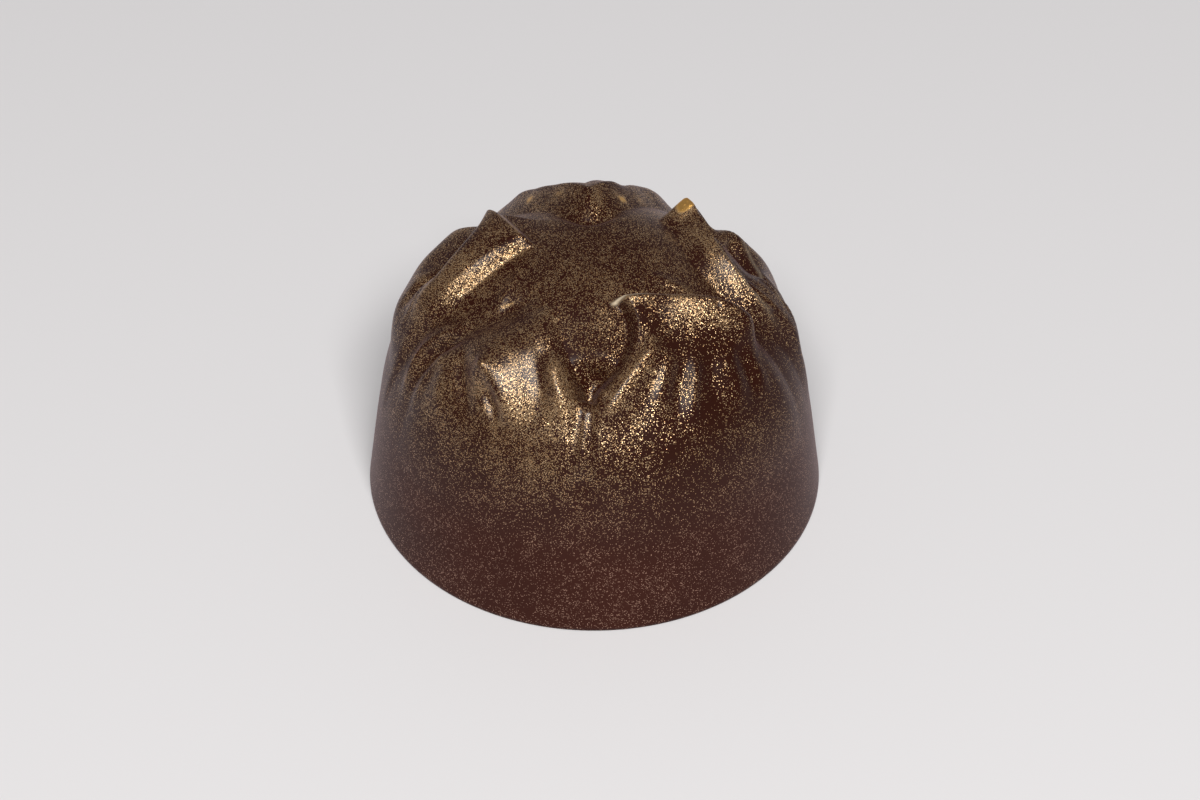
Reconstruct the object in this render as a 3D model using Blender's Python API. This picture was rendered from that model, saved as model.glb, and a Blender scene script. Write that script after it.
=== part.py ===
# Moulded dark chocolate praline: a round, slightly tapered body whose crown is folded like
# overlapping petals around a small raised floor. One solid piece, resting on its flat base.
import math

import bmesh
import bpy
import numpy as np

mm = 0.001

base_radius = 15.0          # foot of the body, in millimetres like every length below
foot_round = 0.12           # broken edge where the wall meets the base
around = 96                 # divisions round the axis
wall_rings = 8              # rings up the plain wall
crown_rings = 40            # rings over the folded crown
crown_start = 18.0          # distance from the centre of the crown where the folds have died out
soft_foot = 0.10            # rounding where a petal leaves the floor
narrowest = 0.80            # no rib, crease or climb is narrower than this

# Plain body under the folds: radius, height, from the centre of the crown down to the base.
body_section = [(0.0, 19.5), (2.25, 19.4), (4.35, 19.0), (6.3, 18.1), (8.35, 16.7), (10.35, 14.8),
                (12.1, 12.6), (13.4, 9.9), (14.15, 6.6), (15.0, 0.0)]

# How much of a fold's full height is left at a distance from the centre, measured over the dome.
fade_distance = [0.0, 5.4, 7.5, 9.3, 11.3, 13.2, 15.0, 16.8, 18.8, 21.0]
fade_amount = [1.0, 1.0, 0.88, 0.79, 0.68, 0.54, 0.39, 0.23, 0.09, 0.0]

# Petals. Each edge is a run of (bearing, distance) points over the dome: bearing in degrees from
# the front (-Y), positive toward +X. The petal lies to the right of its edges. "ramp" is the width
# of the climb from the floor to the crest near the top and lower down, "curl" bends the climb,
# "fall" is the share of the height lost again behind the crest within "back".
petals = {
    "front_right": dict(height=1.05, fall=0.2, back=2.6, edges=[
        dict(ramp=(0.55, 1.6), curl=1.7, run=[(0, 4.1), (12, 4.25), (24, 4.35), (36, 4.6), (48, 5.15),
                                              (59, 6.3), (67, 7.75), (72, 9.4), (74.5, 11.4),
                                              (75, 14.0), (75, 21.8)]),
        dict(ramp=(0.42, 0.55), curl=1.6, run=[(-1, 21.8), (-1.7, 15.0), (-1.5, 11.9), (-0.6, 10.5),
                                               (3, 9.85), (6.8, 9.3), (10.6, 8.7), (14.6, 7.95),
                                               (18.2, 7.1), (20, 6.15), (18.8, 5.1), (12, 4.2), (3, 3.3)])]),
    "front_left": dict(height=1.05, fall=0.05, back=4.0, edges=[
        dict(ramp=(2.3, 1.8), curl=1.7, run=[(-66, 21.8), (-66.5, 13.5), (-65.5, 11.2), (-60, 9.1),
                                             (-51, 7.6), (-42.5, 6.2), (-33, 5.1), (-22, 4.3), (-6, 4.1)]),
        dict(ramp=(1.5, 1.0), curl=1.8, run=[(-42, 3.2), (-27, 5.0), (-19.5, 6.6), (-13, 8.1),
                                             (-7.4, 9.4), (-3.2, 10.6), (-4.2, 13.0), (-6, 21.8)])]),
    "left": dict(height=0.8, fall=0.05, back=3.0, edges=[
        dict(ramp=(0.8, 0.72), curl=1.7, run=[(-112, 2.3), (-99, 4.2), (-89, 5.45), (-82.8, 6.95),
                                              (-78.8, 8.45), (-76.4, 9.9), (-76.2, 11.5), (-77.5, 13.2),
                                              (-80, 21.8)]),
        dict(ramp=(0.4, 1.8), curl=1.4, run=[(-128, 21.8), (-128, 15.0), (-129, 10.0), (-127, 7.6),
                                             (-118.5, 5.5), (-105, 3.95), (-88, 3.2), (-70, 3.0),
                                             (-52, 3.1)])]),
    "right": dict(height=1.88, fall=0.62, back=1.9, edges=[
        dict(ramp=(1.2, 1.1), curl=1.4, run=[(84, 21.8), (83, 15.5), (80, 13.2), (77.8, 11.8),
                                              (77.6, 10.4), (79.2, 9.1), (83, 7.8), (90, 6.75),
                                              (100, 6.2), (112, 6.1), (124, 6.15), (140, 6.25)]),
        dict(ramp=(0.6, 1.8), curl=1.5, run=[(108, 3.0), (121, 4.5), (133, 5.8), (139.5, 6.8),
                                             (136.5, 8.3), (130, 10.0), (126, 12.5), (125, 21.8)])]),
    "back": dict(height=1.64, fall=0.4, back=3.0, edges=[
        dict(ramp=(1.75, 2.0), curl=1.12, run=[(143, 21.8), (147, 14.0), (151.5, 10.0), (154.5, 7.6),
                                               (157.5, 5.8), (163, 4.4), (172, 3.5), (185, 3.25),
                                               (198, 3.6), (206, 4.6), (211, 6.2), (214.5, 8.0),
                                               (219, 11.0), (223, 14.0), (226, 21.8)])]),
}

# Ribs (+) and creases (-): height, widths to the right and to the left of the run, the shares of
# the length over which each end dies out, and the run itself.
folds = [
    # rolled rim of the front right petal and the pleats under it
    (1.35, 1.60, 0.50, (0.75, 0.20), [(40, 5.5), (50, 6.1), (59, 7.0), (66, 8.4), (70.5, 10.1),
        (73, 12.6)]),
    (0.30, 0.45, 1.10, (0.30, 0.30), [(30, 7.2), (23, 8.3), (16, 9.2), (9.5, 10.2), (4.5, 11.4),
        (2, 13.0)]),
    (0.26, 0.55, 0.55, (0.35, 0.45), [(35, 8.5), (28.5, 9.5), (23.5, 10.5), (19.5, 11.7), (17, 13.4)]),
    (-0.18, 0.45, 0.45, (0.35, 0.45), [(37, 9.1), (31, 10.1), (26.5, 11.2), (23, 12.6), (21.5, 13.8)]),
    (0.25, 0.52, 0.52, (0.35, 0.45), [(40.5, 9.2), (35.5, 10.2), (31.5, 11.3), (28, 12.6), (26, 13.8)]),
    (-0.18, 0.52, 0.52, (0.35, 0.45), [(43.5, 9.7), (39, 10.9), (36, 12.2), (33.5, 14.2)]),
    (0.28, 0.70, 0.70, (0.35, 0.45), [(47, 9.9), (44.5, 11.2), (42.5, 12.8), (41, 14.6)]),
    (-0.20, 0.55, 0.55, (0.35, 0.45), [(51, 10.6), (49.5, 12.2), (48, 14.6)]),
    (0.20, 0.60, 0.60, (0.40, 0.45), [(56, 11.2), (53.5, 13.2), (52, 15.4)]),
    # pleats of the front left petal
    (0.32, 0.45, 0.42, (0.35, 0.45), [(-15.5, 8.4), (-12.8, 9.4), (-10, 10.6), (-8, 12.3)]),
    (-0.34, 0.45, 0.55, (0.40, 0.45), [(-21, 8.2), (-18, 9.3), (-15.2, 10.6), (-13, 12.6)]),
    (0.62, 2.10, 1.60, (0.45, 0.45), [(-46, 7.0), (-41, 9.0), (-36.5, 11.0), (-31, 13.8)]),
    (0.44, 0.45, 0.85, (0.30, 0.40), [(-48, 9.4), (-43, 10.2), (-37, 11.2), (-31.5, 12.3), (-27.5, 13.6)]),
    (-0.30, 0.40, 0.45, (0.40, 0.45), [(-45.5, 11.0), (-40.5, 11.9), (-35, 12.9), (-30.5, 14.0)]),
    (-0.34, 0.60, 0.60, (0.35, 0.45), [(-55, 9.8), (-52, 11.4), (-45, 13.0), (-40, 14.8)]),
    (0.20, 0.80, 0.80, (0.40, 0.45), [(-60, 10.4), (-58, 12.2), (-54, 14.2), (-50, 15.6)]),
    # thin rib where the two front petals meet
    (0.52, 0.50, 0.50, (0.20, 0.40), [(-1.6, 10.9), (-2.6, 12.0), (-3.2, 13.4), (-3.9, 15.2),
        (-4.4, 16.6)]),
    # creases and ribs of the right petal, and its shoulder
    (-0.70, 0.36, 0.55, (0.12, 0.45), [(130, 8.7), (115, 8.0), (103, 8.1), (94.5, 9.2), (89, 10.6),
        (86.5, 12.3), (85, 15.6)]),
    (-0.80, 0.80, 0.90, (0.30, 0.40), [(139, 9.3), (128, 9.6), (117, 10.0)]),
    (-0.12, 0.40, 0.40, (0.25, 0.35), [(118, 6.6), (105, 6.5), (94.5, 7.2), (86.5, 8.4), (82.5, 9.8),
        (81.5, 11.8)]),
    (0.62, 2.20, 2.20, (0.45, 0.40), [(102, 10.5), (98, 13.0), (95, 17.5)]),
    (0.14, 0.50, 0.50, (0.20, 0.30), [(117, 8.8), (106, 9.2), (98, 10.4), (94, 12.4), (94, 15.4)]),
    (-0.50, 0.45, 0.50, (0.20, 0.35), [(120, 10.2), (109, 10.8), (102, 12.6), (100, 16.4)]),
    # rim, crease and shoulder of the left petal
    (1.20, 1.00, 1.80, (0.04, 0.45), [(-128, 7.7), (-113, 7.1), (-101.5, 7.6), (-91.5, 9.0),
        (-86, 10.6), (-82.5, 12.4), (-80, 15.0)]),
    (-0.45, 0.45, 0.45, (0.25, 0.35), [(-117, 8.9), (-105, 9.7), (-96, 11.4), (-90, 14.6)]),
    (0.98, 2.40, 2.40, (0.45, 0.40), [(-99, 10.0), (-94, 12.8), (-91, 17.5)]),
    (0.80, 1.70, 1.70, (0.35, 0.45), [(-131, 9.0), (-121, 11.0), (-110, 13.0), (-100, 16.5)]),
    # small roll between the left and the front left petals
    (0.55, 0.70, 0.60, (0.30, 0.35), [(-60, 9.2), (-67.5, 10.5), (-71.5, 12.2), (-71.5, 14.4),
        (-71, 17.6)]),
    (-0.35, 0.45, 0.45, (0.35, 0.40), [(-58, 9.9), (-65, 11.3), (-68, 13.2), (-68.5, 16.4)]),
    (0.35, 0.50, 0.50, (0.35, 0.40), [(-59, 11.0), (-63, 12.4), (-65, 14.4), (-65, 17.0)]),
    # dip in the back petal's rim, and its pleats
    (-0.14, 0.80, 0.80, (0.30, 0.30), [(181, 3.0), (181, 4.6), (181, 6.6)]),
    (0.30, 0.90, 0.90, (0.35, 0.45), [(181, 7.4), (181, 9.6), (181, 12.6)]),
    (-0.35, 0.60, 0.60, (0.40, 0.45), [(168, 7.0), (170, 9.6), (171, 14.0)]),
    (0.25, 0.80, 0.80, (0.40, 0.45), [(158, 9.4), (159, 12.0), (161, 14.8)]),
    (0.35, 0.80, 0.80, (0.40, 0.45), [(137, 10.6), (139, 12.6), (142, 15.2)]),
    (-0.35, 0.60, 0.60, (0.40, 0.45), [(195, 7.0), (193, 9.6), (191, 14.0)]),
    (0.25, 0.80, 0.80, (0.40, 0.45), [(205, 9.4), (204, 12.0), (202, 14.8)]),
    (0.35, 0.80, 0.80, (0.40, 0.45), [(230, 10.6), (227, 12.6), (224, 15.2)]),
]

# The same for the floor the petals lie on; these are hidden where a petal covers them.
floor_folds = [
    (0.14, 0.35, 0.35, (0.40, 0.40), [(-78, 4.5), (-66, 6.3), (-58, 8.4)]),
    (-0.34, 0.60, 0.60, (0.40, 0.40), [(-44, 4.6), (-54, 6.6), (-62, 8.8)]),
    (0.18, 0.45, 0.45, (0.40, 0.40), [(60, 3.6), (66, 5.7), (71, 8.4)]),
    (0.30, 1.40, 1.40, (0.75, 0.25), [(16, 4.4), (8, 6.6), (4, 8.4), (2, 9.3)]),
    (-0.95, 1.25, 1.25, (0.85, 0.02), [(8, 7.4), (3.8, 8.7), (0.5, 9.9), (-1.5, 11.1)]),
]


def smooth_run(points, steps):
    """Rounded run through the points."""
    p = np.array(points, float)
    p = np.vstack([2 * p[0] - p[1], p, 2 * p[-1] - p[-2]])
    t = np.linspace(0.0, 1.0, steps, endpoint=False)[:, None]
    spans = []
    for a, b, c, d in zip(p[:-3], p[1:-2], p[2:-1], p[3:]):
        spans.append(0.5 * (2 * b + (c - a) * t + (2 * a - 5 * b + 4 * c - d) * t ** 2
                            + (3 * b - a - 3 * c + d) * t ** 3))
    return np.vstack(spans + [p[-2:-1]])


section = smooth_run(body_section, 40)
along = np.concatenate([[0.0], np.cumsum(np.hypot(*np.diff(section, axis=0).T))])
slope = np.gradient(section, along, axis=0)
total = along[-1]


def flat_points(run):
    """(bearing, distance) points as flat positions: x to the right, y to the front."""
    bearing = np.radians([point[0] for point in run])
    distance = np.array([point[1] for point in run], float)
    return np.stack([distance * np.sin(bearing), distance * np.cos(bearing)], 1)


def on_body(flat):
    """Flat positions laid on the plain body."""
    distance = np.maximum(np.hypot(flat[:, 0], flat[:, 1]), 1e-6)
    radius = np.interp(distance, along, section[:, 0]) / distance
    height = np.interp(distance, along, section[:, 1])
    return np.stack([radius * flat[:, 0], -radius * flat[:, 1], height], 1)


def nearest(flat, solid, run):
    """Distance from the run over the body, side of it (+1 right) and share of its length."""
    line = smooth_run(flat_points(run), 8)
    lifted = on_body(line)
    best = np.full(len(flat), 1e9)
    side = np.zeros(len(flat))
    share = np.zeros(len(flat))
    for i in range(len(line) - 1):
        step = lifted[i + 1] - lifted[i]
        t = np.clip((solid - lifted[i]) @ step / (step @ step), 0.0, 1.0)
        gap = np.linalg.norm(solid - lifted[i] - t[:, None] * step, axis=1)
        turn = line[i + 1] - line[i]
        cross = turn[0] * (flat[:, 1] - line[i, 1]) - turn[1] * (flat[:, 0] - line[i, 0])
        closer = gap < best - 1e-7
        best[closer] = gap[closer]
        side[closer] = np.sign(cross[closer])
        share[closer] = (i + t[closer]) / (len(line) - 1)
    return best, side, share


def ease(t):
    t = np.clip(t, 0.0, 1.0)
    return t * t * (3.0 - 2.0 * t)


def raised(flat, solid, lines):
    """Summed height of ribs and creases at flat positions."""
    out = np.zeros(len(flat))
    for height, right, left, ends, run in lines:
        gap, side, share = nearest(flat, solid, run)
        width = np.maximum(np.where(side > 0, right, left), narrowest)
        out += height * np.exp(-(gap / width) ** 2) * ease(share / ends[0]) * ease((1 - share) / ends[1])
    return out


def relief(flat):
    """Height of the folds over the plain body at flat positions."""
    solid = on_body(flat)
    distance = np.hypot(flat[:, 0], flat[:, 1])
    low = ease((distance - 8.2) / 5.2)
    fade = np.interp(distance, fade_distance, fade_amount)
    top = np.zeros(len(flat))
    cover = np.zeros(len(flat))
    for petal in petals.values():
        climb = np.ones(len(flat))
        inside = np.full(len(flat), 1e9)
        for edge in petal["edges"]:
            gap, side, _ = nearest(flat, solid, edge["run"])
            gap = np.where(side > 0, gap * gap / (gap + soft_foot), 0.0)
            ramp = np.maximum(edge["ramp"][0] + (edge["ramp"][1] - edge["ramp"][0]) * low, narrowest)
            climb = climb * (1.0 - (1.0 - np.clip(gap / ramp, 0.0, 1.0)) ** edge["curl"])
            inside = np.minimum(inside, gap - ramp)
        cover = np.maximum(cover, climb)
        climb = climb * (1.0 - petal["fall"] * ease(inside / petal["back"]))
        top = np.maximum(top, petal["height"] * fade * climb)
    return top + (1.0 - cover) * raised(flat, solid, floor_folds) + raised(flat, solid, folds)


def folded(points):
    """Points of the plain body, in metres, moved out along it by the folds."""
    radius = np.hypot(points[:, 0], points[:, 1]) / mm
    distance = np.interp(-points[:, 2] / mm, -section[:, 1], along)
    bearing = np.arctan2(points[:, 0], -points[:, 1])
    flat = np.stack([distance * np.sin(bearing), distance * np.cos(bearing)], 1)
    out = relief(flat)
    run = np.stack([np.interp(distance, along, slope[:, i]) for i in (0, 1)], 1)
    run /= np.linalg.norm(run, axis=1)[:, None]
    new_radius = (radius - out * run[:, 1]) * mm
    height = points[:, 2] + out * run[:, 0] * mm
    return np.stack([new_radius * np.sin(bearing), -new_radius * np.cos(bearing), height], 1)


def clear_scene():
    for thing in list(bpy.data.objects):
        bpy.data.objects.remove(thing)


def chocolate():
    material = bpy.data.materials.new("dark_chocolate")
    material.use_nodes = True
    shader = material.node_tree.nodes["Principled BSDF"]
    shader.inputs["Base Color"].default_value = (0.075, 0.034, 0.018, 1.0)
    shader.inputs["Roughness"].default_value = 0.38
    return material


def build():
    """Turn the section round the axis, then fold the crown."""
    rings = list(np.linspace(0.0, crown_start, crown_rings + 1))
    rings += list(np.linspace(crown_start, total - foot_round, wall_rings + 1))[1:]
    shape = bmesh.new()
    chain = [shape.verts.new((np.interp(d, along, section[:, 0]) * mm, 0.0,
                              np.interp(d, along, section[:, 1]) * mm)) for d in rings]
    chain.append(shape.verts.new(((base_radius - foot_round) * mm, 0.0, 0.0)))
    chain.append(shape.verts.new((0.0, 0.0, 0.0)))
    edges = [shape.edges.new(pair) for pair in zip(chain[:-1], chain[1:])]
    bmesh.ops.spin(shape, geom=chain + edges, cent=(0, 0, 0), axis=(0, 0, 1), angle=2 * math.pi,
                   steps=around, use_merge=True, use_normal_flip=False)
    bmesh.ops.remove_doubles(shape, verts=shape.verts, dist=1e-6)
    bmesh.ops.recalc_face_normals(shape, faces=shape.faces)
    crown = [v for v in shape.verts if v.co.z > 1.0 * mm]
    places = folded(np.array([v.co[:] for v in crown]))
    for vertex, place in zip(crown, places):
        vertex.co = place
    bmesh.ops.triangulate(shape, faces=shape.faces)
    mesh = bpy.data.meshes.new("praline")
    shape.to_mesh(mesh)
    shape.free()
    mesh.polygons.foreach_set("use_smooth", [True] * len(mesh.polygons))
    mesh.set_sharp_from_angle(angle=math.radians(50.0))
    return mesh


clear_scene()
collection = bpy.data.collections.new("chocolate_praline")
bpy.context.scene.collection.children.link(collection)
praline = bpy.data.objects.new("praline", build())
praline.data.materials.append(chocolate())
collection.objects.link(praline)
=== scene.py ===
import math

import bmesh
import bpy
import numpy as np
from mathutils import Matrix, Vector


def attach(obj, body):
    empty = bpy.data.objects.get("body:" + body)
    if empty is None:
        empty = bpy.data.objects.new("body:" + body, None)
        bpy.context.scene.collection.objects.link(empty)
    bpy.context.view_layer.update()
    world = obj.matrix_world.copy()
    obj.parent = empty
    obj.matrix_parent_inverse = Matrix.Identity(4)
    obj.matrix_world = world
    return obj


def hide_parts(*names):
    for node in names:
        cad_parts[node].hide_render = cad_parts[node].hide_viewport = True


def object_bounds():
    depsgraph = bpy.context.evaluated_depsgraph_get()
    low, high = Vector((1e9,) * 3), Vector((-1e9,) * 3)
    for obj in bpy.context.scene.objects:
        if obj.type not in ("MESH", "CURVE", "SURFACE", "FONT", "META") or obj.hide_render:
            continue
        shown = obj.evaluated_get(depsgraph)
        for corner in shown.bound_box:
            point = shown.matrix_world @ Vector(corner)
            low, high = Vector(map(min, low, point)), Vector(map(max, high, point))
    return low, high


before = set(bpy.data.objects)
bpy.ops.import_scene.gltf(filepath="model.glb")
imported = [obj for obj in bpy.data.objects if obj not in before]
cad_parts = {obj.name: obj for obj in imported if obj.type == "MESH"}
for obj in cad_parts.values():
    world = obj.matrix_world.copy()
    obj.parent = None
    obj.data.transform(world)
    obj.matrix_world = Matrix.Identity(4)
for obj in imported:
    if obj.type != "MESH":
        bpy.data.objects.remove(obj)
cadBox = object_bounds()
print("frame loaded, box in mm:", [[round(1000 * v, 2) for v in corner] for corner in cadBox])

mm = 0.001
footRadius = (cadBox[1][0] - cadBox[0][0]) / 2 / mm      # all shape numbers below are millimetres

# bearings are degrees round from the front, + to the right, and distances are measured
# over the dome from its middle
body = {
    "section": [(0.0, 19.5), (2.25, 19.4), (4.35, 19.0), (6.3, 18.1), (8.35, 16.7), (10.35, 14.8),
                (12.1, 12.6), (13.4, 9.9), (14.15, 6.6), (15.0, 0.0)],   # radius, height
    "sectionSteps": 40,              # points worked out between two given ones
    "footRound": 0.12,               # small bevel at the foot
    "sharpAngle": 60.0,              # edges bent more than this stay crisp
    "around": 420,                   # points in a ring
    "innermost": 0.03,               # first ring
    "crownRings": 188,
    "wallRings": 40,
    "crownEnd": 18.0,                # the crown's fine rings end here and the wall's wider ones start
    "fadeAt": [0.0, 5.4, 7.5, 9.3, 11.3, 13.2, 15.0, 16.8, 18.8, 21.0],
    "fade": [1.0, 1.0, 0.88, 0.79, 0.68, 0.54, 0.39, 0.23, 0.09, 0.0],   # share of a petal's height
    "softFoot": 0.10,                # rounding where a petal leaves the floor
    "lowFrom": 8.2,                  # the slope of a petal's edge changes from here
    "lowOver": 5.2,                  # to this much further down
    "runSteps": 8,                   # points worked out between two given ones of a run
    "foldReach": 3.4,                # how many widths away a fold still counts
    "giltLimits": (-1.0, 1.6),       # least and most that the gold lines come to
}

# "fall" is the share of its height that a petal loses over "back" behind its edge. Edges are
# runs of (bearing, distance) with the petal on their right. "ramp" is how wide the slope up
# from the edge is, near the top and low down, and "curl" rounds it.
petals = {
    "frontRight": {"height": 1.05, "fall": 0.20, "back": 2.6, "edges": [
        {"ramp": (0.55, 1.6), "curl": 1.7, "run": [
            (0, 4.1), (12, 4.25), (24, 4.35), (36, 4.6), (48, 5.15), (59, 6.3), (67, 7.75),
            (72, 9.4), (74.5, 11.4), (75, 14.0), (75, 21.8)]},
        {"ramp": (0.42, 0.55), "curl": 1.6, "run": [
            (-1, 21.8), (-1.7, 15.0), (-1.5, 11.9), (-0.6, 10.5), (3.0, 9.85), (6.8, 9.3),
            (10.6, 8.7), (14.6, 7.95), (18.2, 7.1), (20.0, 6.15), (18.8, 5.1), (12, 4.2),
            (3, 3.3)]}]},
    "frontLeft": {"height": 1.05, "fall": 0.05, "back": 4.0, "edges": [
        {"ramp": (2.3, 1.8), "curl": 1.7, "run": [
            (-66, 21.8), (-66.5, 13.5), (-65.5, 11.2), (-60, 9.1), (-51, 7.6), (-42.5, 6.2),
            (-33, 5.1), (-22, 4.3), (-6, 4.1)]},
        {"ramp": (1.5, 1.0), "curl": 1.8, "run": [
            (-42, 3.2), (-27, 5.0), (-19.5, 6.6), (-13, 8.1), (-7.4, 9.4), (-3.2, 10.6),
            (-4.2, 13.0), (-6, 21.8)]}]},
    "left": {"height": 0.79, "fall": 0.05, "back": 3.0, "edges": [
        {"ramp": (0.64, 0.60), "curl": 1.7, "run": [
            (-112, 2.3), (-99, 4.2), (-89, 5.45), (-82.8, 6.95), (-78.8, 8.45), (-76.4, 9.9),
            (-76.2, 11.5), (-77.5, 13.2), (-80, 21.8)]},
        {"ramp": (0.4, 1.8), "curl": 1.4, "run": [
            (-128, 21.8), (-128, 15.0), (-129, 10.0), (-127, 7.6), (-118.5, 5.5), (-105, 3.95),
            (-88, 3.2), (-70, 3.0), (-52, 3.1)]}]},
    "right": {"height": 1.88, "fall": 0.62, "back": 1.9, "edges": [
        {"ramp": (1.20, 1.10), "curl": 0.92, "run": [
            (84, 21.8), (83, 15.5), (80, 13.2), (77.8, 11.8), (77.6, 10.4), (79.2, 9.1),
            (83, 7.8), (90, 6.75), (100, 6.2), (112, 6.1), (124, 6.15), (140, 6.25)]},
        {"ramp": (0.6, 1.8), "curl": 1.5, "run": [
            (108, 3.0), (121, 4.5), (133, 5.8), (139.5, 6.8), (136.5, 8.3), (130, 10.0),
            (126, 12.5), (125, 21.8)]}]},
    "back": {"height": 1.58, "fall": 0.40, "back": 3.0, "edges": [
        {"ramp": (1.75, 2.0), "curl": 1.12, "run": [
            (143, 21.8), (147, 14.0), (151.5, 10.0), (154.5, 7.6), (157.5, 5.8), (163, 4.4),
            (172, 3.5), (185, 3.25), (198, 3.6), (206, 4.6), (211, 6.2), (214.5, 8.0),
            (219, 11.0), (223, 14.0), (226, 21.8)]}]},
}

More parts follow.
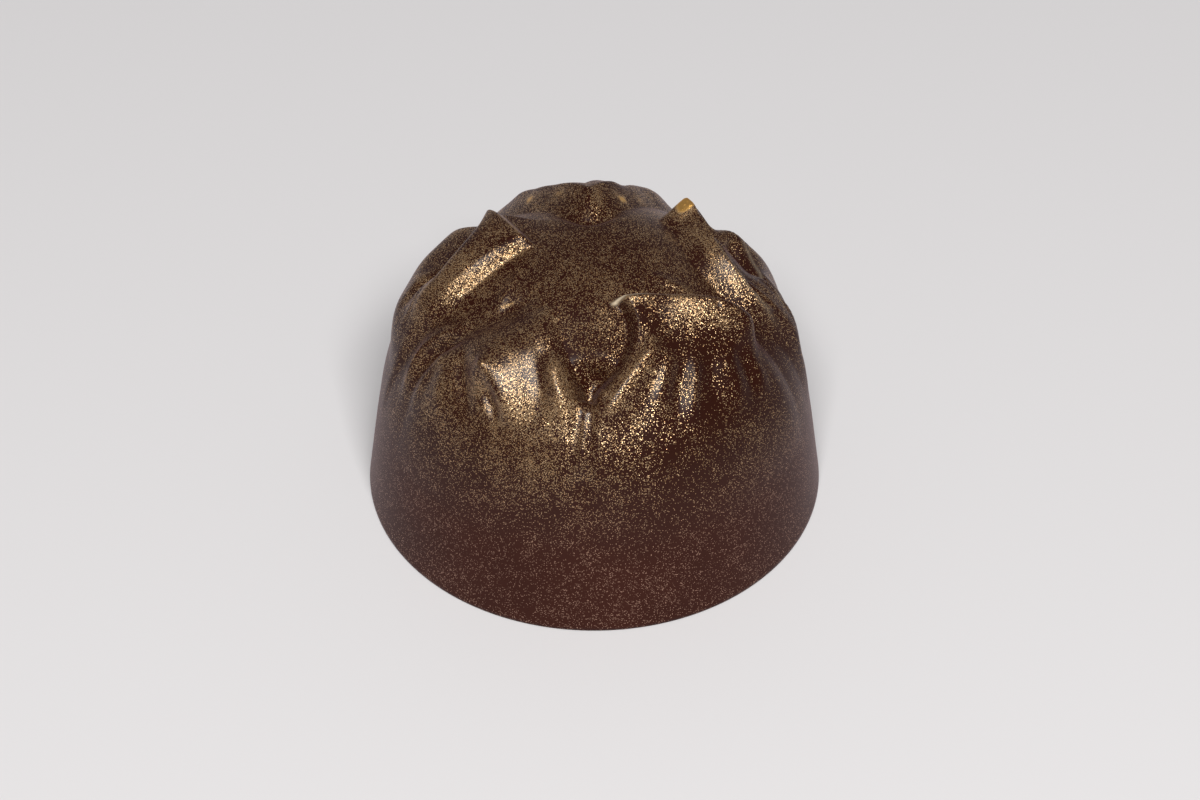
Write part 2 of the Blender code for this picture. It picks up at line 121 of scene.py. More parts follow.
# ribs (+) and creases (-): height, width to the right, width to the left, end shares, run
folds = {
    "rimFrontRight": (1.35, 1.60, 0.50, (0.75, 0.20),
                      [(40, 5.5), (50, 6.1), (59, 7.0), (66, 8.4), (70.5, 10.1), (73, 12.6)]),
    "tipRight": (0.32, 0.60, 0.60, (0.40, 0.40), [(138, 7.7), (130.5, 7.35), (123.5, 7.1)]),
    "lipLine": (0.20, 0.36, 0.16, (0.20, 0.55), [(13, 4.75), (23, 4.75), (33, 4.9), (41, 5.2), (50, 5.75)]),
    "sideLineRight1": (0.13, 0.20, 0.20, (0.25, 0.35),
                       [(124, 8.6), (108, 8.75), (99, 9.4), (93, 10.6), (89, 12.2), (86, 14.6)]),
    "sideLineRight2": (0.13, 0.20, 0.20, (0.25, 0.35),
                       [(122, 11.1), (107, 11.2), (98, 12.3), (92, 14.2), (88, 16.4)]),
    "sideLineLeft1": (0.13, 0.20, 0.20, (0.25, 0.35),
                      [(-61, 9.6), (-67.5, 10.9), (-71.5, 12.6), (-72, 15.0), (-72, 17.0)]),
    "sideLineLeft2": (0.12, 0.20, 0.20, (0.25, 0.35), [(-66, 12.3), (-68.5, 14.0), (-70, 16.4)]),
    "sideLineLeft3": (0.13, 0.20, 0.20, (0.25, 0.35),
                      [(-118, 7.9), (-104, 8.4), (-94, 10.0), (-88, 12.2), (-84, 15.0)]),
    "pleatRight1": (0.42, 0.45, 1.00, (0.22, 0.30),
                    [(32.5, 7.3), (24.2, 8.4), (16.4, 9.35), (9.6, 10.4), (4.8, 11.6), (2.4, 13.0)]),
    "pleatRight2": (0.26, 0.50, 0.60, (0.35, 0.45),
                    [(37.5, 8.5), (31, 9.5), (26, 10.5), (22, 11.7), (19.5, 13.4)]),
    "grooveRight2": (-0.18, 0.45, 0.45, (0.35, 0.45),
                     [(41, 9.1), (35.5, 10.1), (31, 11.2), (28, 12.6), (26, 13.8)]),
    "pleatRight3": (0.20, 0.32, 0.32, (0.35, 0.45),
                    [(45, 9.4), (41, 10.4), (37, 11.5), (33.5, 12.8), (31.5, 14.0)]),
    "grooveRight3": (-0.14, 0.50, 0.50, (0.35, 0.45), [(50.5, 9.9), (46, 11.1), (43, 12.4), (40.5, 14.4)]),
    "pleatRight4": (0.30, 0.85, 0.85, (0.35, 0.45), [(56, 10.3), (54, 11.6), (52, 13.2), (50.5, 15.0)]),
    "grooveRight4": (-0.16, 0.55, 0.55, (0.35, 0.45), [(60.5, 10.6), (59, 12.2), (57.5, 14.6)]),
    "pleatRight5": (0.18, 0.60, 0.60, (0.40, 0.45), [(65, 11.2), (62.5, 13.2), (61, 15.4)]),
    "pleatLeft1": (0.42, 0.80, 0.74, (0.30, 0.45),
                   [(-19.2, 8.0), (-16.4, 9.1), (-13.9, 10.3), (-11.9, 11.6), (-10.6, 12.9)]),
    "grooveLeft1": (-0.28, 0.70, 0.50, (0.40, 0.45),
                    [(-27.2, 8.1), (-22.0, 9.4), (-18.2, 10.8), (-15.4, 12.6)]),
    "swellLeft": (0.62, 2.10, 1.60, (0.50, 0.45), [(-50, 7.6), (-44, 9.4), (-36.5, 11.0), (-31, 13.8)]),
    "pleatLeft2": (0.40, 0.42, 0.80, (0.30, 0.40),
                   [(-47, 9.5), (-42.5, 10.4), (-37.5, 11.0), (-32.5, 11.8), (-28.5, 12.8), (-26, 13.9)]),
    "pleatLeft3": (0.34, 0.42, 0.42, (0.30, 0.45), [(-41.5, 9.9), (-43.4, 10.9), (-44.6, 12.0)]),
    "notchLeft": (-0.34, 0.42, 0.42, (0.35, 0.45),
                  [(-39.5, 11.5), (-37, 12.1), (-33.4, 12.9), (-30.5, 14.0)]),
    "pinhole": (-0.34, 0.18, 0.18, (0.02, 0.02), [(61.2, 8.26), (62.3, 8.32)]),
    "grooveLeft2": (-0.34, 0.60, 0.60, (0.35, 0.45), [(-55, 9.8), (-52, 11.4), (-45, 13.0), (-40, 14.8)]),
    "pleatLeft4": (0.20, 0.80, 0.80, (0.40, 0.45), [(-60, 10.4), (-58, 12.2), (-54, 14.2), (-50, 15.6)]),
    "meetingRib": (0.52, 0.50, 0.50, (0.20, 0.40),
                   [(-1.6, 10.9), (-2.6, 12.0), (-3.2, 13.4), (-3.9, 15.2), (-4.4, 16.6)]),
    "creaseRight1": (-0.70, 0.36, 0.55, (0.12, 0.45),
                     [(130, 8.7), (115, 8.0), (103, 8.1), (94.5, 9.2), (89, 10.6), (86.5, 12.3),
                      (85, 15.6)]),
    "notchRight": (-0.80, 0.80, 0.90, (0.30, 0.40), [(139, 9.3), (128, 9.6), (117, 10.0)]),
    "faceGrooveRight": (-0.12, 0.40, 0.40, (0.25, 0.35),
                        [(118, 6.6), (105, 6.5), (94.5, 7.2), (86.5, 8.4), (82.5, 9.8), (81.5, 11.8)]),
    "shoulderRight": (0.62, 2.2, 2.2, (0.45, 0.40), [(102, 10.5), (98, 13.0), (95, 17.5)]),
    "ribRight": (0.14, 0.50, 0.50, (0.20, 0.30),
                 [(117, 8.8), (106, 9.2), (98, 10.4), (94, 12.4), (94, 15.4)]),
    "creaseRight2": (-0.50, 0.45, 0.50, (0.20, 0.35), [(120, 10.2), (109, 10.8), (102, 12.6), (100, 16.4)]),
    "ridgeLeft": (1.20, 1.00, 1.80, (0.04, 0.45),
                  [(-128, 7.7), (-113, 7.1), (-101.5, 7.6), (-91.5, 9.0), (-86, 10.6),
                   (-82.5, 12.4), (-80, 15.0)]),
    "creaseLeft": (-0.45, 0.45, 0.45, (0.25, 0.35), [(-117, 8.9), (-105, 9.7), (-96, 11.4), (-90, 14.6)]),
    "shoulderLeft": (0.98, 2.4, 2.4, (0.45, 0.40), [(-99, 10.0), (-94, 12.8), (-91, 17.5)]),
    "bulgeLeft": (0.80, 1.7, 1.7, (0.35, 0.45), [(-131, 9.0), (-121, 11.0), (-110, 13.0), (-100, 16.5)]),
    "smallRoll": (0.55, 0.70, 0.60, (0.30, 0.35),
                  [(-60, 9.2), (-67.5, 10.5), (-71.5, 12.2), (-71.5, 14.4), (-71, 17.6)]),
    "rollGroove": (-0.35, 0.45, 0.45, (0.35, 0.40), [(-58, 9.9), (-65, 11.3), (-68, 13.2), (-68.5, 16.4)]),
    "rollRib": (0.35, 0.50, 0.50, (0.35, 0.40), [(-59, 11.0), (-63, 12.4), (-65, 14.4), (-65, 17.0)]),
    "dipBack": (-0.14, 0.8, 0.8, (0.30, 0.30), [(181, 3.0), (181, 4.6), (181, 6.6)]),
    "ribBack": (0.30, 0.90, 0.90, (0.35, 0.45), [(181, 7.4), (181, 9.6), (181, 12.6)]),
    "grooveBack1": (-0.35, 0.60, 0.60, (0.40, 0.45), [(168, 7.0), (170, 9.6), (171, 14.0)]),
    "pleatBack1": (0.25, 0.80, 0.80, (0.40, 0.45), [(158, 9.4), (159, 12.0), (161, 14.8)]),
    "pleatBack2": (0.35, 0.80, 0.80, (0.40, 0.45), [(137, 10.6), (139, 12.6), (142, 15.2)]),
    "grooveBack2": (-0.35, 0.60, 0.60, (0.40, 0.45), [(195, 7.0), (193, 9.6), (191, 14.0)]),
    "pleatBack3": (0.25, 0.80, 0.80, (0.40, 0.45), [(205, 9.4), (204, 12.0), (202, 14.8)]),
    "pleatBack4": (0.35, 0.80, 0.80, (0.40, 0.45), [(230, 10.6), (227, 12.6), (224, 15.2)]),
}

# the same for the sheet the petals lie on, hidden where they cover it
floorFolds = {
    "floorRunLeft": (0.14, 0.35, 0.35, (0.40, 0.40), [(-78, 4.5), (-66, 6.3), (-58, 8.4)]),
    "floorDipLeft": (-0.34, 0.60, 0.60, (0.40, 0.40), [(-44, 4.6), (-54, 6.6), (-62, 8.8)]),
    "floorRunRight": (0.18, 0.45, 0.45, (0.40, 0.40), [(60, 3.6), (66, 5.7), (71, 8.4)]),
    "tongueSwell": (0.30, 1.40, 1.40, (0.75, 0.25), [(16, 4.4), (8, 6.6), (4, 8.4), (2, 9.3)]),
    "tonguePlunge": (-0.95, 1.25, 1.25, (0.70, 0.02), [(6.4, 8.0), (3.4, 8.9), (0.5, 9.9), (-1.5, 11.1)]),
    "creaseBack": (-0.22, 0.30, 0.30, (0.20, 0.20),
                   [(158, 5.3), (164, 4.1), (173, 3.25), (185, 3.0), (198, 3.35), (206, 4.3), (211, 5.9)]),
}

# lines where more gold has caught (+) or none has (-)
gilt = {
    "veinRight": (0.7, 0.13, 0.13, (0.25, 0.20),
                  [(120.9, 6.95), (107.1, 6.95), (96, 7.43), (89.1, 8.29), (84.9, 9.35), (82.3, 10.4)]),
    "tipRight": (1.9, 0.50, 0.50, (0.45, 0.45), [(138, 7.6), (130.5, 7.3), (124, 7.1)]),
    "rimLeft": (1.0, 0.11, 0.11, (0.30, 0.20),
                [(-120, 6.66), (-117.4, 6.0), (-111.4, 5.22), (-104.6, 4.55)]),
    "bandLeft": (0.8, 0.16, 0.16, (0.30, 0.10),
                 [(-78, 10.1), (-79.7, 8.3), (-84.9, 6.47), (-91.7, 5.12), (-100.3, 4.35)]),
    "bareLeft": (-0.45, 0.34, 0.34, (0.10, 0.60), [(-103, 4.95), (-99.5, 5.3), (-96, 5.75), (-91, 6.4)]),
    "streakFloor1": (1.0, 0.14, 0.14, (0.30, 0.30), [(-61.7, 7.62), (-59.1, 6.85), (-54.9, 5.99)]),
    "streakFloor2": (0.6, 0.16, 0.16, (0.30, 0.30), [(-71.1, 7.72), (-69.4, 6.47), (-66.9, 5.41)]),
    "streakFloor3": (0.6, 0.14, 0.14, (0.30, 0.30), [(-53.1, 5.03), (-51.4, 4.26)]),
    "bandRight": (0.6, 0.36, 0.36, (0.25, 0.25), [(28.3, 7.53), (19.7, 8.49), (12, 9.45), (5.1, 10.5)]),
    "crescent": (0.7, 0.50, 0.50, (0.30, 0.30),
                 [(44.6, 6.18), (50.6, 7.14), (55.7, 8.1), (60, 9.26), (64.3, 10.7)]),
    "dimFrontRight": (-0.55, 1.1, 1.1, (0.30, 0.30), [(22, 5.7), (30, 6.4), (37, 7.6)]),
    "dimFrontMiddle": (-0.10, 0.70, 0.70, (0.30, 0.30), [(33, 7.6), (42, 9.0), (52, 10.3)]),
    "patchBack1": (1.1, 0.50, 0.50, (0.40, 0.40), [(-148.5, 9.4), (-151, 9.0), (-153, 8.4)]),
    "patchBack2": (0.9, 0.40, 0.40, (0.40, 0.40), [(-156, 7.2), (-160, 6.4), (-165, 6.0)]),
    "patchBack3": (0.8, 0.35, 0.35, (0.40, 0.40), [(178, 4.2), (177, 4.9), (176, 5.6)]),
    "patchBack4": (1.1, 0.40, 0.40, (0.40, 0.40), [(166, 5.6), (163, 6.2), (160, 6.9)]),
    "patchBack5": (0.9, 0.30, 0.30, (0.40, 0.40), [(158, 7.6), (158, 8.2), (158, 8.8)]),
    "dimRight": (-0.20, 0.55, 0.55, (0.30, 0.30), [(108, 6.6), (97, 6.8), (90, 7.4), (86, 8.2)]),
    "dimTongue": (-0.28, 0.50, 0.50, (0.30, 0.10), [(-17, 7.4), (-12, 8.2), (-6, 9.2), (-1, 10.1)]),
    "pleatLeft": (0.6, 0.30, 0.30, (0.30, 0.30),
                  [(-17.1, 8.1), (-13.7, 9.16), (-11.1, 10.3), (-9.4, 11.7)]),
}

# edges rubbed bare of dust and glossier, with a painted highlight: a pale colour laid along them
rubbedHighlightLines = {
    "lip": (1.0, 0.13, 0.10, (0.20, 0.60),
            [(11.5, 4.72), (18, 4.68), (25.6, 4.69), (33, 4.85), (40.8, 5.09), (50, 5.6)]),
    "edgeRight1": (0.10, 0.13, 0.13, (0.20, 0.30),
                   [(108, 7.4), (96.9, 7.9), (90, 9.0), (85.7, 10.2), (84, 12.0), (84.9, 14.2)]),
    "edgeRight2": (0.13, 0.13, 0.13, (0.20, 0.30),
                   [(119, 10.9), (112.3, 11.75), (105.4, 12.4), (95, 12.9), (87.4, 14.1)]),
}


def smoothRun(points, steps):
    # a smooth curve through the points
    p = np.array(points, float)
    p = np.vstack([2 * p[0] - p[1], p, 2 * p[-1] - p[-2]])
    t = np.linspace(0.0, 1.0, steps, endpoint=False)[:, None]
    spans = []
    for a, b, c, d in zip(p[:-3], p[1:-2], p[2:-1], p[3:]):
        spans.append(0.5 * (2 * b + (c - a) * t + (2 * a - 5 * b + 4 * c - d) * t ** 2
                            + (3 * b - a - 3 * c + d) * t ** 3))
    return np.vstack(spans + [p[-2:-1]])


section = smoothRun(body["section"], body["sectionSteps"])
along = np.concatenate([[0.0], np.cumsum(np.hypot(*np.diff(section, axis=0).T))])
slope = np.gradient(section, along, axis=0)


def flatPoints(run):
    # the dome laid out flat
    bearing = np.radians([point[0] for point in run])
    distance = np.array([point[1] for point in run], float)
    return np.stack([distance * np.sin(bearing), distance * np.cos(bearing)], 1)


def onBody(flat):
    # from the flat layout back to the plain body
    distance = np.maximum(np.hypot(flat[:, 0], flat[:, 1]), 1e-6)
    radius = np.interp(distance, along, section[:, 0]) / distance
    return np.stack([radius * flat[:, 0], -radius * flat[:, 1],
                     np.interp(distance, along, section[:, 1])], 1)


def nearest(flat, solid, run):
    # gap to the run, the side of it (+ right) and the share of its length passed
    line = smoothRun(flatPoints(run), body["runSteps"])
    lifted = onBody(line)
    best = np.full(len(flat), 1e9)
    side = np.zeros(len(flat))
    share = np.zeros(len(flat))
    for i in range(len(line) - 1):
        step = lifted[i + 1] - lifted[i]
        t = np.clip((solid - lifted[i]) @ step / (step @ step), 0.0, 1.0)
        gap = np.linalg.norm(solid - lifted[i] - t[:, None] * step, axis=1)
        turn = line[i + 1] - line[i]
        cross = turn[0] * (flat[:, 1] - line[i, 1]) - turn[1] * (flat[:, 0] - line[i, 0])
        closer = gap < best - 1e-7
        best[closer] = gap[closer]
        side[closer] = np.sign(cross[closer])
        share[closer] = (i + t[closer]) / (len(line) - 1)
    return best, side, share


def ease(t):
    t = np.clip(t, 0.0, 1.0)
    return t * t * (3.0 - 2.0 * t)


def raised(flat, solid, runs):
    # a soft ridge along each run that dies out at both ends
    total = np.zeros(len(flat))
    for height, right, left, ends, run in runs.values():
        line = flatPoints(run)
        reach = body["foldReach"] * max(right, left)
        close = np.all((flat > line.min(0) - reach) & (flat < line.max(0) + reach), axis=1)
        gap, side, share = nearest(flat[close], solid[close], run)
        width = np.where(side > 0, right, left)
        total[close] += (height * np.exp(-(gap / width) ** 2) * ease(share / ends[0])
                         * ease((1 - share) / ends[1]))
    return total


def relief(flat, solid):
    # how far petals, ribs and creases stand out from the plain body
    distance = np.hypot(flat[:, 0], flat[:, 1])
    low = ease((distance - body["lowFrom"]) / body["lowOver"])
    fade = np.interp(distance, body["fadeAt"], body["fade"])
    top = np.zeros(len(flat))
    cover = np.zeros(len(flat))
    for petal in petals.values():
        climb = np.ones(len(flat))
        inside = np.full(len(flat), 1e9)
        for edge in petal["edges"]:
            gap, side, _ = nearest(flat, solid, edge["run"])
            gap = np.where(side > 0, gap * gap / (gap + body["softFoot"]), 0.0)
            ramp = edge["ramp"][0] + (edge["ramp"][1] - edge["ramp"][0]) * low
            climb = climb * (1.0 - (1.0 - np.clip(gap / ramp, 0.0, 1.0)) ** edge["curl"])
            inside = np.minimum(inside, gap - ramp)
        cover = np.maximum(cover, climb)
        climb = climb * (1.0 - petal["fall"] * ease(inside / petal["back"]))
        top = np.maximum(top, petal["height"] * fade * climb)
    return top + (1.0 - cover) * raised(flat, solid, floorFolds) + raised(flat, solid, folds)


def foldedBody():
    # turned like the plain body, each point then pushed out along the body's own normal
    crown = np.linspace(body["innermost"], body["crownEnd"], body["crownRings"])
    wall = np.linspace(body["crownEnd"], along[-1] - body["footRound"], body["wallRings"])
    rings = np.concatenate([crown, wall[1:]])
    bearing = np.arange(body["around"]) * 2 * math.pi / body["around"]
    distance, turn = [grid.ravel() for grid in np.meshgrid(rings, bearing, indexing="ij")]
    flat = np.stack([distance * np.sin(turn), distance * np.cos(turn)], 1)
    solid = onBody(flat)
    out = relief(flat, solid)
    run = np.stack([np.interp(distance, along, slope[:, i]) for i in (0, 1)], 1)
    run /= np.linalg.norm(run, axis=1)[:, None]
    radius = np.interp(distance, along, section[:, 0]) - out * run[:, 1]
    height = np.interp(distance, along, section[:, 1]) + out * run[:, 0]
    points = np.stack([radius * np.sin(turn), -radius * np.cos(turn), height], 1)
    marks = {
        "raised": out,
        "gilt": np.clip(raised(flat, solid, gilt), *body["giltLimits"]),
        "rubbedHighlightLines": np.clip(raised(flat, solid, rubbedHighlightLines), 0.0, 1.0),
    }
    return points, marks


def buildPraline():
    points, marks = foldedBody()
    around = body["around"]
    mesh = bpy.data.meshes.new("praline")
    shape = bmesh.new()
    grid = []
    for ring in points.reshape(-1, around, 3):
        grid.append([shape.verts.new(Vector(point) * mm) for point in ring])
    inner = footRadius - body["footRound"]
    foot = []
    for j in range(around):
        turn = 2 * math.pi * j / around
        foot.append(shape.verts.new((inner * math.sin(turn) * mm, -inner * math.cos(turn) * mm, 0.0)))
    grid.append(foot)
    for upper, lower in zip(grid[:-1], grid[1:]):
        for j in range(around):
            k = (j + 1) % around
            shape.faces.new((upper[j], lower[j], lower[k], upper[k]))
    shape.faces.new(grid[0])
    shape.faces.new(list(reversed(grid[-1])))
    bmesh.ops.recalc_face_normals(shape, faces=shape.faces)
    shape.to_mesh(mesh)
    shape.free()
    mesh.polygons.foreach_set("use_smooth", [True] * len(mesh.polygons))
    mesh.set_sharp_from_angle(angle=math.radians(body["sharpAngle"]))
    for name, mark in marks.items():       # read again by the finish
        values = np.zeros(len(mesh.vertices), np.float32)
        values[:len(mark)] = mark
        mesh.attributes.new(name, "FLOAT", "POINT").data.foreach_set("value", values)
    piece = bpy.data.objects.new("pralineShell", mesh)
    bpy.context.scene.collection.objects.link(piece)
    return piece


praline = buildPraline()
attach(praline, "root")
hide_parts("praline")
print("praline shaped:", len(praline.data.vertices), "points")

# dark chocolate with gold lustre dust brushed over it; heights are metres from the base
finish = {
    "chocolate": (0.029, 0.0066, 0.0034),
    "chocolateWarm": (0.043, 0.0105, 0.0056),
    "chocolatePaintedShade": (0.0235, 0.0052, 0.0022),   # painted shade: darker chocolate on the crown, standing in for the light the floor throws back onto the wall only
    "gold": (0.60, 0.345, 0.150),
    "goldPale": (0.86, 0.62, 0.36),
    "goldLow": (0.53, 0.32, 0.235),  # duller dust on the wall
    "goldLeaf": (1.0, 0.56, 0.15),   # where it lies thick
    # painted highlight: the pale colour laid along the rubbed edges
    "paintedEdgeHighlight": (0.85, 0.71, 0.50),
    "bloom": 0.07,                   # pale bloom seen along the sides
    "bloomTint": (0.95, 0.56, 0.60),
    "bloomRoughness": 0.38,
    "shine": 0.06,                   # of the chocolate itself
    "matteRoughness": 0.46,
    "goldRoughness": 0.42,
    "goldFull": 0.6,                 # a grain that covers this much is as rough as gold
    "gloss": 0.25,                   # the smooth skin over the folds
    "glossLow": 0.08,                # on the wall near the base
    "glossHeights": (0.004, 0.012),  # it thickens between these
    "glossRoughness": 0.33,
    "glossIor": 1.5,
    "fineGrain": 16500.0,            # grains to a metre
    "coarseGrain": 13500.0,
    "fineShare": 0.64,               # share of the places that hold a grain
    "coarseShare": 0.24,
    "fineTilt": 0.41,                # how far grains lean out of the surface
    "coarseTilt": 0.48,
    "fineSize": 0.46,                # share of the room a grain has
    "coarseSize": 0.42,
    "fineThin": 0.2,                 # cover of the thinnest grain
    "coarseThin": 0.7,
    "crownTilt": 1.35,               # grains lie less flat on the crown
    "crownHeights": (0.0155, 0.0185),
    "dustHeights": (0.0056, 0.0180),     # the dust thickens between these
    "dustLow": 0.30,                     # dust left on the wall
    "crownShadeAndToneHeights": (0.0045, 0.0125),     # the wall's colours turn into the crown's: duller dust below, and chocolate darkening upward as painted shade
    "ridgeDust": (-0.3, 1.5, 0.72, 1.15),    # relief from, to, and the dust at each
    "cloudScale": 260.0,
    "cloudDetail": 3.0,
    "cloudDust": (0.30, 0.70, 0.70, 1.20),   # noise from, to, and the dust at each
    "streakScale": 900.0,
    "streakDetail": 2.0,
    "streakDust": (0.30, 0.70, 0.60, 1.36),
    "thickGold": (0.7, 1.3),         # gold lines this strong close up into leaf
    "spotCore": 0.25,                # share of a spot at full strength
}

# spots brushed more or less: bearing, distance, radius, times the dust, times the gloss
spots = {
    "frontRightFace": (46, 10.2, 6.5, 0.30, 0.7),
    "rightShoulder": (66, 13.0, 7.0, 0.34, 0.3),
    "underRim1": (56, 7.3, 2.4, 2.6, 0.3),
    "underRim2": (66, 9.2, 2.2, 2.4, 0.3),
    "underLip1": (29.5, 5.9, 1.5, 0.45, 0.4),
    "underLip2": (34, 7.6, 1.5, 0.55, 0.5),
    "leftPleat": (-40, 10.4, 0.9, 1.0, 2.2),
    "floorLeft": (-52, 6.8, 0.9, 1.5, 0.3),
    "leftBand": (-84, 9.0, 3.4, 1.25, 0.15),
    "leftBandTop": (-90, 5.5, 2.5, 1.0, 0.2),
    "tongue": (3, 8.4, 3.4, 0.70, 0.0),
    "tongueTip": (-0.5, 10.4, 0.7, 0.3, 0.1),
    "frontRightWall": (28, 15.5, 7.0, 0.45, 0.8),
    "frontLeftWall": (-20, 14.0, 5.0, 1.4, 1.0),
    "rightWall": (98, 17.0, 7.0, 0.35, 1.0),
    "leftWall": (-98, 17.0, 7.0, 0.35, 1.0),
    "rightSide1": (97, 9.6, 2.6, 0.25, 1.2),
    "rightSide2": (106, 11.6, 3.0, 0.25, 1.2),
    "leftSide": (-108, 9.5, 3.5, 0.5, 1.0),
    "pleatRight3": (35.8, 11.2, 1.5, 2.7, 0.25),
    "rightFace": (87, 8.4, 1.9, 1.25, 0.3),
    "pleatRight4": (50, 12.3, 1.9, 2.2, 1.5),
    "meetingRib": (-2.5, 12.0, 0.9, 0.5, 3.0),
    "rightFaceLow": (81, 10.6, 1.6, 1.1, 2.2),
    "backPetal": (180, 6.5, 4.6, 0.55, 0.4),
    "floorMiddle": (0, 0.8, 6.0, 0.85, 0.5),
}


# short ways to add a node and get its output
def maths(nodes, link, operation, a, b, clamp=False):
    node = nodes.new("ShaderNodeMath")
    node.operation = operation
    node.use_clamp = clamp
    for i, value in enumerate((a, b)):
        if isinstance(value, (int, float)):
            node.inputs[i].default_value = value
        else:
            link(value, node.inputs[i])
    return node.outputs[0]


def product(nodes, link, *values):
    total = values[0]
    for value in values[1:]:
        total = maths(nodes, link, "MULTIPLY", total, value)
    return total


def ranged(nodes, link, value, low, high, toLow=0.0, toHigh=1.0):
    node = nodes.new("ShaderNodeMapRange")
    node.interpolation_type = "SMOOTHSTEP"
    link(value, node.inputs["Value"])
    node.inputs["From Min"].default_value = low
    node.inputs["From Max"].default_value = high
    node.inputs["To Min"].default_value = toLow
    node.inputs["To Max"].default_value = toHigh
    return node.outputs["Result"]


def mixed(nodes, link, share, a, b):
    node = nodes.new("ShaderNodeMix")
    node.data_type = "RGBA"
    link(share, node.inputs["Factor"])
    for socket, value in ((node.inputs[6], a), (node.inputs[7], b)):
        if isinstance(value, tuple):
            socket.default_value = (*value, 1.0)
        else:
            link(value, socket)
    return node.outputs[2]


def mixedVector(nodes, link, share, a, b):
    node = nodes.new("ShaderNodeMix")
    node.data_type = "VECTOR"
    link(share, node.inputs["Factor"])
    link(a, node.inputs[4])
    link(b, node.inputs[5])
    return node.outputs[1]


def noise(nodes, link, place, scale, detail):
    node = nodes.new("ShaderNodeTexNoise")
    node.inputs["Scale"].default_value = scale
    node.inputs["Detail"].default_value = detail
    link(place, node.inputs["Vector"])
    return node.outputs["Fac"]


def attribute(nodes, name):
    node = nodes.new("ShaderNodeAttribute")
    node.attribute_name = name
    return node.outputs["Fac"]


def dustGroup():
    # scattered grains: which spots they cover, their tint and the way each one leans
    group = bpy.data.node_groups.new("lustreDust", "ShaderNodeTree")
    face = group.interface
    face.new_socket("Place", in_out="INPUT", socket_type="NodeSocketVector")
    for name in ("Grain", "Share", "Lean", "Size", "Thin"):
        face.new_socket(name, in_out="INPUT", socket_type="NodeSocketFloat")
    for name in ("Cover", "Tint"):
        face.new_socket(name, in_out="OUTPUT", socket_type="NodeSocketFloat")
    face.new_socket("Normal", in_out="OUTPUT", socket_type="NodeSocketVector")
    nodes, link = group.nodes, group.links.new
    given = nodes.new("NodeGroupInput")
    put = nodes.new("NodeGroupOutput")
    cells = nodes.new("ShaderNodeTexVoronoi")
    cells.feature = "F1"
    link(given.outputs["Place"], cells.inputs["Vector"])
    link(given.outputs["Grain"], cells.inputs["Scale"])
    parts = nodes.new("ShaderNodeSeparateColor")
    link(cells.outputs["Color"], parts.inputs["Color"])
    chosen = maths(nodes, link, "LESS_THAN", parts.outputs["Red"], given.outputs["Share"])
    near = maths(nodes, link, "LESS_THAN", cells.outputs["Distance"], given.outputs["Size"])
    spread = maths(nodes, link, "SUBTRACT", 1.0, given.outputs["Thin"])
    extra = maths(nodes, link, "MULTIPLY", spread, parts.outputs["Blue"])
    dense = maths(nodes, link, "ADD", given.outputs["Thin"], extra)
    cover = product(nodes, link, chosen, near, dense)
    link(cover, put.inputs["Cover"])
    link(parts.outputs["Green"], put.inputs["Tint"])
    centred = nodes.new("ShaderNodeVectorMath")
    centred.operation = "SUBTRACT"
    link(cells.outputs["Color"], centred.inputs[0])
    centred.inputs[1].default_value = (0.5, 0.5, 0.5)
    lean = nodes.new("ShaderNodeVectorMath")
    lean.operation = "SCALE"
    link(centred.outputs[0], lean.inputs[0])
    link(product(nodes, link, given.outputs["Lean"], chosen, near), lean.inputs["Scale"])
    skin = nodes.new("ShaderNodeNewGeometry")
    total = nodes.new("ShaderNodeVectorMath")
    total.operation = "ADD"
    link(skin.outputs["Normal"], total.inputs[0])
    link(lean.outputs[0], total.inputs[1])
    unit = nodes.new("ShaderNodeVectorMath")
    unit.operation = "NORMALIZE"
    link(total.outputs[0], unit.inputs[0])
    link(unit.outputs[0], put.inputs["Normal"])
    return group


def brushedSpot(nodes, link, place, bearing, distance, radius, dust, gloss):
    gap = nodes.new("ShaderNodeVectorMath")
    gap.operation = "DISTANCE"
    link(place, gap.inputs[0])
    gap.inputs[1].default_value = onBody(flatPoints([(bearing, distance)]))[0] * mm
    near = finish["spotCore"] * radius * mm
    far = radius * mm
    return (ranged(nodes, link, gap.outputs["Value"], near, far, dust, 1.0),
            ranged(nodes, link, gap.outputs["Value"], near, far, gloss, 1.0))


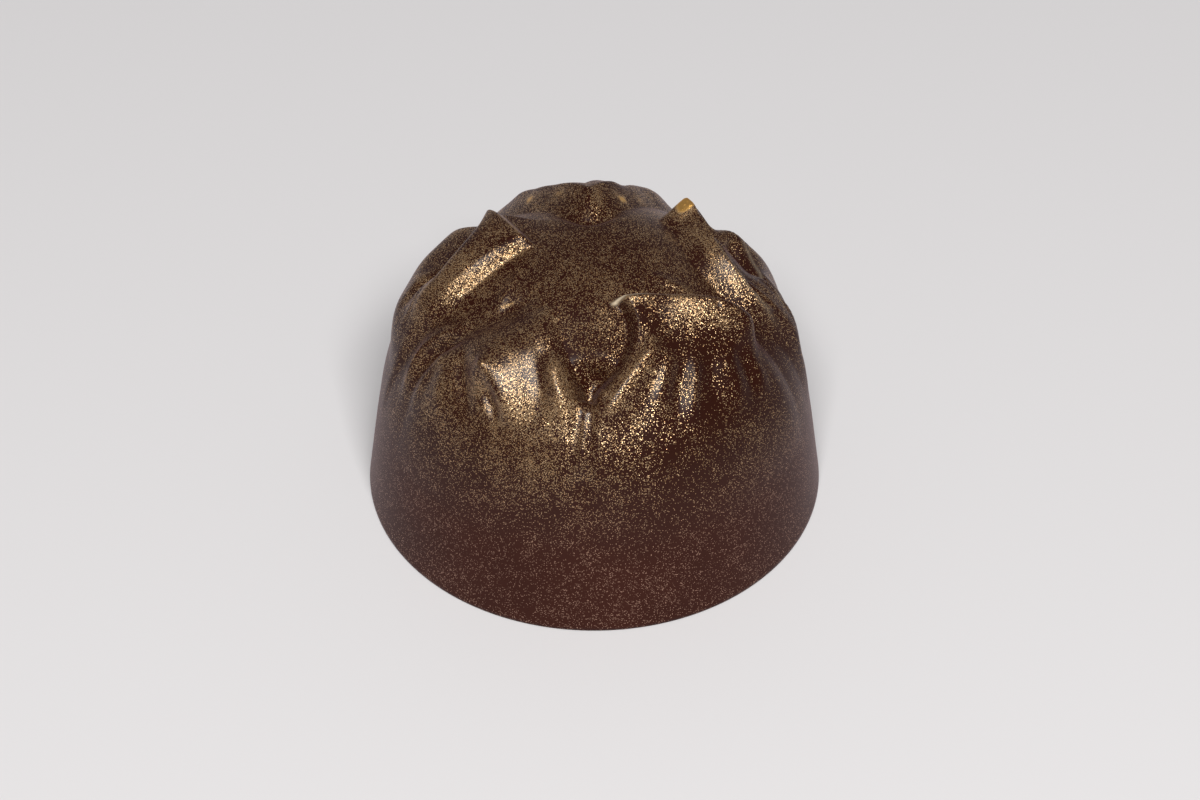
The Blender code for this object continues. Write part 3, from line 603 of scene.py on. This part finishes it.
def dustedChocolate():
    material = bpy.data.materials.new("dustedChocolate")
    material.use_nodes = True
    tree = material.node_tree
    nodes, link = tree.nodes, tree.links.new
    shader = nodes["Principled BSDF"]
    place = nodes.new("ShaderNodeTexCoord").outputs["Object"]
    split = nodes.new("ShaderNodeSeparateXYZ")
    link(place, split.inputs[0])
    reliefMark, giltMark, rubbedHighlightMark = [attribute(nodes, name) for name in ("raised", "gilt", "rubbedHighlightLines")]

    # how much gold lies where
    cloud = noise(nodes, link, place, finish["cloudScale"], finish["cloudDetail"])
    streak = noise(nodes, link, place, finish["streakScale"], finish["streakDetail"])
    height = ranged(nodes, link, split.outputs["Z"], *finish["dustHeights"], finish["dustLow"], 1.0)
    ridge = ranged(nodes, link, reliefMark, *finish["ridgeDust"])
    patch = ranged(nodes, link, cloud, *finish["cloudDust"])
    fine = ranged(nodes, link, streak, *finish["streakDust"])
    brushings = [brushedSpot(nodes, link, place, *spot) for spot in spots.values()]
    brushed = product(nodes, link, height, ridge, patch, fine, *[dust for dust, _ in brushings])
    amount = maths(nodes, link, "ADD", brushed, giltMark)

    # fine grains with coarser ones over them
    group = dustGroup()
    crown = ranged(nodes, link, split.outputs["Z"], *finish["crownHeights"], 1.0, finish["crownTilt"])
    layers = []
    for size in ("fine", "coarse"):
        dust = nodes.new("ShaderNodeGroup")
        dust.node_tree = group
        link(place, dust.inputs["Place"])
        for name in ("Grain", "Size", "Thin"):
            dust.inputs[name].default_value = finish[size + name]
        link(maths(nodes, link, "MULTIPLY", crown, finish[size + "Tilt"]), dust.inputs["Lean"])
        link(maths(nodes, link, "MULTIPLY", amount, finish[size + "Share"]), dust.inputs["Share"])
        layers.append(dust)
    fineDust, coarseDust = layers

    grains = maths(nodes, link, "MAXIMUM", fineDust.outputs["Cover"], coarseDust.outputs["Cover"])
    thick = ranged(nodes, link, giltMark, *finish["thickGold"])
    whole = maths(nodes, link, "SUBTRACT", 1.0, rubbedHighlightMark)
    cover = maths(nodes, link, "MULTIPLY", maths(nodes, link, "MAXIMUM", grains, thick), whole)

    # from the wall up to the crown the dust's tint changes and the chocolate takes painted shade
    crownShadeAndTone = ranged(nodes, link, split.outputs["Z"], *finish["crownShadeAndToneHeights"])
    base = mixed(nodes, link, cloud, finish["chocolate"], finish["chocolateWarm"])
    # painted shade: the chocolate turns darker towards the crown
    base = mixed(nodes, link, crownShadeAndTone, base, finish["chocolatePaintedShade"])
    # painted highlight: pale colour along the rubbed edges, which also lose their dust and gain gloss
    base = mixed(nodes, link, rubbedHighlightMark, base, finish["paintedEdgeHighlight"])
    tint = mixed(nodes, link, fineDust.outputs["Tint"], finish["gold"], finish["goldPale"])
    tint = mixed(nodes, link, crownShadeAndTone, finish["goldLow"], tint)
    tint = mixed(nodes, link, thick, tint, finish["goldLeaf"])
    rough = ranged(nodes, link, cover, 0.0, finish["goldFull"], finish["matteRoughness"],
                   finish["goldRoughness"])
    grainNormal = mixedVector(nodes, link, coarseDust.outputs["Cover"], fineDust.outputs["Normal"],
                              coarseDust.outputs["Normal"])
    skin = ranged(nodes, link, split.outputs["Z"], *finish["glossHeights"], finish["glossLow"],
                  finish["gloss"])
    skin = product(nodes, link, skin, *[gloss for _, gloss in brushings])

    link(mixed(nodes, link, cover, base, tint), shader.inputs["Base Color"])
    link(cover, shader.inputs["Metallic"])
    link(rough, shader.inputs["Roughness"])
    link(grainNormal, shader.inputs["Normal"])
    link(maths(nodes, link, "ADD", skin, rubbedHighlightMark, clamp=True), shader.inputs["Coat Weight"])
    shader.inputs["Sheen Weight"].default_value = finish["bloom"]
    shader.inputs["Sheen Roughness"].default_value = finish["bloomRoughness"]
    shader.inputs["Sheen Tint"].default_value = (*finish["bloomTint"], 1.0)
    shader.inputs["Coat Roughness"].default_value = finish["glossRoughness"]
    shader.inputs["Coat IOR"].default_value = finish["glossIor"]
    shader.inputs["Specular IOR Level"].default_value = finish["shine"]
    return material


praline.data.materials.append(dustedChocolate())
print("finish made")

# pale floor, one soft light, a bright room behind, and the camera
studio = {
    "floorSize": 3.0,
    "floorColour": (0.74, 0.725, 0.725),
    "floorRoughness": 0.55,
    "keyWide": 0.30,
    "keyTall": 0.15,
    "keyPower": 4.3,
    "keyDistance": 0.60,
    "keyElevation": 52.0,
    "keyBearing": 4.0,
    "keyAim": 0.012,                 # height it points at
    "skyBack": (0.90, 0.90, 0.94),
    "skyFront": (0.30, 0.285, 0.29),
    "skyStrength": 0.40,
    "skyDepth": (-0.2, 0.9),         # from front to back the room grows bright
    "skyHeight": (0.15, 0.75),       # and from here up it grows dim
    "skyOverhead": 0.25,
    "cameraLens": 137.4,
    "cameraSensor": 36.0,
    "cameraNear": 0.01,
    "cameraTilt": 42.85,
    "cameraDistance": 0.3,
    "cameraAim": 0.6,                # height of the point it looks at, in foot radii
    "cameraAside": 0.00037,          # then moved right and down by these
    "cameraDown": 0.00185,
}


def paleFloor():
    bpy.ops.mesh.primitive_plane_add(size=studio["floorSize"], location=(0, 0, 0))
    floor = bpy.context.active_object
    floor.name = "floor"
    material = bpy.data.materials.new("paleFloor")
    material.use_nodes = True
    shader = material.node_tree.nodes["Principled BSDF"]
    shader.inputs["Base Color"].default_value = (*studio["floorColour"], 1.0)
    shader.inputs["Roughness"].default_value = studio["floorRoughness"]
    floor.data.materials.append(material)
    return floor


def keyLight():
    lamp = bpy.data.lights.new("keyLight", "AREA")
    lamp.shape = "RECTANGLE"
    lamp.size = studio["keyWide"]
    lamp.size_y = studio["keyTall"]
    lamp.energy = studio["keyPower"]
    holder = bpy.data.objects.new("keyLight", lamp)
    bpy.context.scene.collection.objects.link(holder)
    bearing = math.radians(studio["keyBearing"])
    elevation = math.radians(studio["keyElevation"])
    level = studio["keyDistance"] * math.cos(elevation)
    holder.location = (level * math.sin(bearing), -level * math.cos(bearing),
                       studio["keyDistance"] * math.sin(elevation) + studio["keyAim"])
    aim = Vector((0, 0, studio["keyAim"])) - holder.location
    holder.rotation_euler = aim.to_track_quat("-Z", "Y").to_euler()


def brightRoom():
    world = bpy.data.worlds.new("studio")
    bpy.context.scene.world = world
    world.use_nodes = True
    nodes, link = world.node_tree.nodes, world.node_tree.links.new
    direction = nodes.new("ShaderNodeTexCoord")
    split = nodes.new("ShaderNodeSeparateXYZ")
    link(direction.outputs["Generated"], split.inputs[0])
    behind = ranged(nodes, link, split.outputs["Y"], *studio["skyDepth"])
    low = ranged(nodes, link, split.outputs["Z"], *studio["skyHeight"], 1.0, studio["skyOverhead"])
    glow = mixed(nodes, link, product(nodes, link, behind, low), studio["skyFront"], studio["skyBack"])
    link(glow, nodes["Background"].inputs["Color"])
    nodes["Background"].inputs["Strength"].default_value = studio["skyStrength"]


def placedCamera():
    camera = bpy.data.cameras.new("camera")
    camera.sensor_width = studio["cameraSensor"]
    camera.lens = studio["cameraLens"]
    camera.clip_start = studio["cameraNear"]
    viewer = bpy.data.objects.new("camera", camera)
    bpy.context.scene.collection.objects.link(viewer)
    tilt = math.radians(studio["cameraTilt"])
    back = Vector((0, -math.cos(tilt), math.sin(tilt)))
    up = Vector((0, math.sin(tilt), math.cos(tilt)))
    aim = Vector((studio["cameraAside"], 0, studio["cameraAim"] * footRadius * mm))
    viewer.location = aim + back * studio["cameraDistance"] - up * studio["cameraDown"]
    viewer.rotation_euler = (math.pi / 2 - tilt, 0, 0)
    return viewer


floor = paleFloor()
keyLight()
brightRoom()
bpy.context.scene.camera = placedCamera()
bpy.context.scene.view_settings.view_transform = "Standard"
print("studio set")
